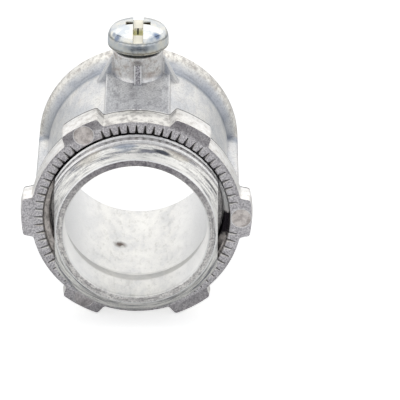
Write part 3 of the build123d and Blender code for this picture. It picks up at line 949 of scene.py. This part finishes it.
# %% Locknut: colours of the bore
bore_tone = add(tree, "ShaderNodeValToRGB", {"stops": [(0.38, "#B6B1AE"), (0.60, "#F2ECE8")]},
                {0: mottle})
oblique = add(tree, "ShaderNodeVectorMath", {"operation": "DOT_PRODUCT", 1: (0, 0.50, 1)},
              {0: place})
uneven = add(tree, "ShaderNodeMath", {"operation": "MULTIPLY_ADD", 1: 2.4 * MM},
             {0: mottle, 2: oblique})
# Painted highlight on the upper right of the bore.
bore_highlight_share = add(tree, "ShaderNodeMapRange", {"From Min": -0.8 * MM, "From Max": 1.4 * MM},
                  {"Value": uneven})
bore_bright = add(tree, "ShaderNodeMix", {"data_type": "RGBA", 7: "#FFFFFF"},
                  {0: bore_highlight_share, 6: bore_tone})
# Painted black shade on the lower right of the bore, in the shadow of the nipple's flat.
shade_top = add(tree, "ShaderNodeMapRange", {"From Min": 0.4 * MM, "From Max": 0.0},
               {"Value": uneven})
shade_foot = add(tree, "ShaderNodeMapRange", {"From Min": -3.7 * MM, "From Max": -3.1 * MM},
                {"Value": uneven})
shade_band = add(tree, "ShaderNodeMath", {"operation": "MULTIPLY"}, {0: shade_top, 1: shade_foot})
bore_right = add(tree, "ShaderNodeMapRange", {"From Min": 5.0 * MM, "From Max": 8.0 * MM},
                 {"Value": x})
shade_place = add(tree, "ShaderNodeMath", {"operation": "MULTIPLY"}, {0: shade_band, 1: bore_right})
opposite = add(tree, "ShaderNodeAmbientOcclusion", {"Distance": 3.0 * MM, "samples": 12})
facing_flat = add(tree, "ShaderNodeMapRange", {"From Min": 0.70, "From Max": 0.50},
                  {"Value": opposite.outputs["AO"]})
bore_shade = add(tree, "ShaderNodeMath", {"operation": "MULTIPLY"}, {0: shade_place, 1: facing_flat})
bore_colour = add(tree, "ShaderNodeMix", {"data_type": "RGBA"},
                  {0: bore_right, 6: bore_tone, 7: bore_bright})
bore_colour = add(tree, "ShaderNodeMix", {"data_type": "RGBA", 7: "#38343A"},
                  {0: bore_shade, 6: bore_colour})
colour = add(tree, "ShaderNodeMix", {"data_type": "RGBA"}, {0: bore, 6: colour, 7: bore_colour})
print("bore")

# %% [markdown]
# Where the thread starts, the mouth of the bore has deep painted shade, most of all above the
# nipple. At the rear edge a dark line of painted shadow sets the nut off from the body. The painted
# shade of the creases is as on the body.

# %% Locknut: dark mouth, rear line and creases
# Painted shade in the mouth of the bore.
mouth = add(tree, "ShaderNodeMapRange", {"From Min": 13.46 * MM, "From Max": 13.38 * MM},
            {"Value": radius})
at_front = add(tree, "ShaderNodeMapRange", {"From Min": -4.00 * MM, "From Max": -4.12 * MM},
               {"Value": y})
shaded = add(tree, "ShaderNodeMapRange", {"From Min": -9.0 * MM, "From Max": 0.0, "To Min": 0.25},
             {"Value": z})
mouth_front = add(tree, "ShaderNodeMath", {"operation": "MULTIPLY"}, {0: mouth, 1: at_front})
mouth_dark = add(tree, "ShaderNodeMath", {"operation": "MULTIPLY"}, {0: mouth_front, 1: shaded})
open_side = add(tree, "ShaderNodeMapRange",
                {"From Min": 12.7 * MM, "From Max": 12.0 * MM, "To Min": 0.7}, {"Value": sideways})
mouth_dark = add(tree, "ShaderNodeMath", {"operation": "MULTIPLY"}, {0: mouth_dark, 1: open_side})
colour = add(tree, "ShaderNodeMix", {"data_type": "RGBA", 7: "#1F1C20"}, {0: mouth_dark, 6: colour})

# Painted shadow along the rear edge, in the gap against the body.
rear_line = add(tree, "ShaderNodeMapRange", {"From Min": -0.62 * MM, "From Max": -0.54 * MM},
                {"Value": y})
not_rear = add(tree, "ShaderNodeMapRange", {"From Min": 0.9, "From Max": 0.6},
               {"Value": facing.outputs["Y"]})
rear_gap_shadow = add(tree, "ShaderNodeMath", {"operation": "MULTIPLY"}, {0: rear_line, 1: not_rear})
colour = add(tree, "ShaderNodeMix", {"data_type": "RGBA", 7: "#28282C"}, {0: rear_gap_shadow, 6: colour})
# Painted shade in the creases, from ambient occlusion.
near_metal = add(tree, "ShaderNodeAmbientOcclusion", {"Distance": 0.6 * MM, "samples": 12})
crease = add(tree, "ShaderNodeValToRGB",
             {"stops": [(0.05, "#1C1C20"), (0.26, "#5C5C62"), (0.44, "#C4C4C8"), (0.60, "#FFFFFF")]},
             {0: near_metal.outputs["AO"]})
colour = add(tree, "ShaderNodeMix", {"data_type": "RGBA", "blend_type": "MULTIPLY", 0: 1.0},
             {6: colour, 7: crease})
print("mouth, rear line and creases")

# %% [markdown]
# The front is duller than the sides, 0.58 in roughness against 0.36. The edges are rounded by a
# Bevel node, as on the body, and the grain is a low bump.

# %% Locknut: relief and shader
roughness = add(tree, "ShaderNodeMapRange", {"To Min": 0.36, "To Max": 0.58}, {"Value": front})
grain_height = add(tree, "ShaderNodeMapRange", {"To Min": 0.15, "To Max": 0.4}, {"Value": front})
rounded = add(tree, "ShaderNodeBevel", {"Radius": 0.12 * MM, "samples": 6})
grain = add(tree, "ShaderNodeBump", {"Distance": 0.07 * MM},
            {"Height": grit, "Strength": grain_height, "Normal": rounded})
metal = add(tree, "ShaderNodeBsdfPrincipled", {"Metallic": 1.0},
            {"Base Color": colour, "Roughness": roughness, "Normal": grain})
add(tree, "ShaderNodeOutputMaterial", links={"Surface": metal})
print("locknut has", len(tree.nodes), "nodes")

# %% [markdown]
# The screw is steel with bright zinc plating. Plating is thin and glossy, so it mirrors its
# surroundings more sharply than the castings do, and a clear passivate gives it faint blue and
# yellow tints. They could be painted on an image, but the place of each is known, so masks and a
# noise give them here too. First come the tint, the masks for the head and its recess, and the
# painted shade of the creases.

# %% Plated screw: tint, masks and creases
plated = bpy.data.materials.new("bright_zinc_plated_steel")
tree = empty_tree(plated)
where = add(tree, "ShaderNodeTexCoord")
place = where.outputs["Object"]
spot = add(tree, "ShaderNodeSeparateXYZ", links={0: place})
x, y, z = (spot.outputs[axis] for axis in "XYZ")
film = add(tree, "ShaderNodeTexNoise", {"Scale": per_mm(1.6), "Detail": 4, "Roughness": 0.6},
           {"Vector": place})
tint = add(tree, "ShaderNodeValToRGB",
           {"stops": [(0.38, "#D2D8DE"), (0.50, "#E6E8E7"), (0.62, "#F6F3E8")]}, {0: film})
from_axis = add(tree, "ShaderNodeVectorMath", {"operation": "SUBTRACT", 1: (0, boss_axis, 0)},
                {0: place})
level = add(tree, "ShaderNodeVectorMath", {"operation": "MULTIPLY", 1: (1, 1, 0)}, {0: from_axis})
axis_distance = add(tree, "ShaderNodeVectorMath", {"operation": "LENGTH"}, {0: level})
in_recess = add(tree, "ShaderNodeMapRange", {"From Min": 1.75 * MM, "From Max": 1.45 * MM},
                {"Value": axis_distance})
below_crown = add(tree, "ShaderNodeMapRange", {"From Min": 20.3 * MM, "From Max": 19.8 * MM},
                  {"Value": z})
in_head = add(tree, "ShaderNodeMath", {"operation": "GREATER_THAN", 1: 18.05 * MM}, {0: z})
recess_area = add(tree, "ShaderNodeMath", {"operation": "MULTIPLY"}, {0: in_recess, 1: below_crown})
recess = add(tree, "ShaderNodeMath", {"operation": "MULTIPLY"}, {0: recess_area, 1: in_head})
# Painted shade in the creases, from ambient occlusion.
near_metal = add(tree, "ShaderNodeAmbientOcclusion", {"Distance": 1.2 * MM, "samples": 12})
crease = add(tree, "ShaderNodeValToRGB",
             {"stops": [(0.10, "#1A1A1E"), (0.40, "#8A8B88"), (0.80, "#FFFFFF")]},
             {0: near_metal.outputs["AO"]})
colour = add(tree, "ShaderNodeMix", {"data_type": "RGBA", "blend_type": "MULTIPLY", 0: 1.0},
             {6: tint, 7: crease})
print("plating laid")

# %% [markdown]
# The head was rolled and struck. Up its side run bands of painted reflection, pale bands and dark
# lines. A colour ramp up the side of the head holds them, and a little noise in the height makes
# them waver.

# %% Plated screw: painted reflection bands round the head
unevenness = add(tree, "ShaderNodeTexNoise", {"Scale": per_mm(0.5), "Detail": 3}, {"Vector": place})
height = add(tree, "ShaderNodeMath", {"operation": "MULTIPLY_ADD", 1: 0.35 * MM},
             {0: unevenness, 2: z})
up_the_side = add(tree, "ShaderNodeMapRange", {"From Min": 18.17 * MM, "From Max": 20.37 * MM},
                  {"Value": height})
# Painted reflections: pale bands and dark lines up the side of the head.
painted_reflection_bands = add(tree, "ShaderNodeValToRGB", {"stops": [
    (0.00, "#F4F2EC"), (0.08, "#DEDBD2"), (0.13, "#948D83"), (0.19, "#DDDEDC"),
    (0.30, "#F1F4F5"), (0.60, "#F6F8F9"), (0.70, "#FFFFFF"), (0.80, "#A4A6A7"),
    (0.88, "#F2F2EF"), (1.00, "#FFFFFF"),
]}, {0: up_the_side})
colour = add(tree, "ShaderNodeMix", {"data_type": "RGBA", "blend_type": "MULTIPLY"},
             {0: in_head, 6: colour, 7: painted_reflection_bands})
print("lines round the head")

# %% [markdown]
# Painted reflections of dark surroundings, slate blue, lie below the shoulder and in two places on
# it. Each is a soft ball about a place, with patches missing.

# %% Plated screw: painted reflections
patchy = add(tree, "ShaderNodeMapRange", {"From Min": 0.18, "From Max": 0.42},
             {"Value": unevenness})
# Painted slate-blue reflections on and below the shoulder of the head.
for reflection_place, reach, strength, reflection_colour in (
    ((0.20, 11.80, 19.08), 0.80, 0.95, "#7E8692"),
    ((-0.70, 11.86, 19.10), 0.75, 0.90, "#848C97"),
    ((1.10, 11.94, 19.08), 0.75, 0.90, "#868E99"),
    ((2.00, 12.28, 19.05), 0.75, 0.50, "#98A0AB"),
    ((-1.60, 12.10, 19.12), 0.75, 0.45, "#98A0AB"),
    ((-2.99, 13.45, 20.10), 0.72, 0.85, "#7686A1"),
    ((-3.55, 14.20, 20.30), 0.50, 0.70, "#7A899F"),
    ((2.71, 13.50, 20.40), 0.80, 0.95, "#7385A3"),
    ((1.90, 12.90, 20.20), 0.60, 0.50, "#8C99AD"),
):
    away = add(tree, "ShaderNodeVectorMath",
               {"operation": "DISTANCE", 1: [value * MM for value in reflection_place]}, {0: place})
    near = add(tree, "ShaderNodeMapRange",
               {"From Min": reach * MM, "From Max": 0.4 * reach * MM, "To Max": strength},
               {"Value": away})
    share = add(tree, "ShaderNodeMath", {"operation": "MULTIPLY"}, {0: near, 1: patchy})
    colour = add(tree, "ShaderNodeMix", {"data_type": "RGBA", 7: reflection_colour},
                 {0: share, 6: colour})
    print("film at", reflection_place)

# %% [markdown]
# Down in the slot and the recess the plating is thin: cream in the slot and olive in the pocket
# below it, with a dark line painted down the middle.

# %% Plated screw: slot and recess
beside_axis = add(tree, "ShaderNodeMath", {"operation": "ABSOLUTE"}, {0: x})
slot_width = add(tree, "ShaderNodeMath", {"operation": "LESS_THAN", 1: 0.70 * MM}, {0: beside_axis})
slot_length = add(tree, "ShaderNodeMath", {"operation": "LESS_THAN", 1: 4.20 * MM},
                  {0: axis_distance})
slot_plan = add(tree, "ShaderNodeMath", {"operation": "MULTIPLY"}, {0: slot_width, 1: slot_length})
slot_depth = add(tree, "ShaderNodeMath", {"operation": "MULTIPLY"}, {0: below_crown, 1: in_head})
slot = add(tree, "ShaderNodeMath", {"operation": "MULTIPLY"}, {0: slot_plan, 1: slot_depth})
hollow = add(tree, "ShaderNodeMath", {"operation": "MAXIMUM"}, {0: slot, 1: recess})
down = add(tree, "ShaderNodeMapRange", {"From Min": 19.70 * MM, "From Max": 19.50 * MM},
           {"Value": z})
recess_tone = add(tree, "ShaderNodeMix", {"data_type": "RGBA", 6: "#FBF7EA", 7: "#EBE9C4"},
                  {0: down})
beside_seam = add(tree, "ShaderNodeMath", {"operation": "COMPARE", 1: -0.05 * MM, 2: 0.11 * MM},
                  {0: x})
in_pocket = add(tree, "ShaderNodeMath", {"operation": "COMPARE", 1: 19.45 * MM, 2: 0.40 * MM},
                {0: z})
seam = add(tree, "ShaderNodeMath", {"operation": "MULTIPLY"}, {0: beside_seam, 1: in_pocket})
recess_colour = add(tree, "ShaderNodeMix", {"data_type": "RGBA", 7: "#1E2320"},
                    {0: seam, 6: recess_tone})
colour = add(tree, "ShaderNodeMix", {"data_type": "RGBA"}, {0: hollow, 6: colour, 7: recess_colour})
print("slot and recess")

# %% [markdown]
# The wings of the cross go out sideways from the slot and are painted dark brown as painted shade.
# The metal is glossy, 0.17 in roughness, and dull down in the hollow, where a mirror would show only
# black.

# %% Plated screw: wings and shader
wing_side = add(tree, "ShaderNodeMath", {"operation": "COMPARE", 1: 1.40 * MM, 2: 0.68 * MM},
                {0: beside_axis})
wing_depth = add(tree, "ShaderNodeMath", {"operation": "COMPARE", 1: boss_axis, 2: 0.75 * MM},
                 {0: y})
wing_below = add(tree, "ShaderNodeMapRange", {"From Min": 21.15 * MM, "From Max": 21.05 * MM},
                 {"Value": z})
wing_plan = add(tree, "ShaderNodeMath", {"operation": "MULTIPLY"}, {0: wing_side, 1: wing_depth})
wing_place = add(tree, "ShaderNodeMath", {"operation": "MULTIPLY"}, {0: wing_plan, 1: wing_below})
wing_shade = add(tree, "ShaderNodeMath", {"operation": "MULTIPLY"}, {0: wing_place, 1: in_head})
# Painted shade in the wings of the cross.
colour = add(tree, "ShaderNodeMix", {"data_type": "RGBA", 7: "#6B6250"}, {0: wing_shade, 6: colour})
dull_hollow = add(tree, "ShaderNodeMapRange", {"To Min": 0.17, "To Max": 0.65}, {"Value": hollow})
metal = add(tree, "ShaderNodeBsdfPrincipled", {"Metallic": 1.0},
            {"Base Color": colour, "Roughness": dull_hollow})
add(tree, "ShaderNodeOutputMaterial", links={"Surface": metal})
print("screw has", len(tree.nodes), "nodes")

# %% [markdown]
# Each finish goes on its piece. The engineering model's own nodes get the same finish as the pieces
# that replace them, so that nothing is left undressed whichever of the two is looked at.

# %% Dress the pieces
for node, finish in (("connector_body", zinc), ("locknut", nut_zinc), ("set_screw", plated)):
    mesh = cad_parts[node].data
    for number in range(len(mesh.materials)):
        mesh.materials[number] = finish

for piece, finish in ((casting, zinc), (ridge, nut_zinc), (screw, plated)):
    piece.data.materials.clear()
    piece.data.materials.append(finish)
    print(piece.name, "wears", finish.name)

# %% [markdown]
# The view stays at Blender's plain Standard setting, so a colour comes out as it was written.

# %% Finish
bpy.context.scene.view_settings.view_transform = "Standard"
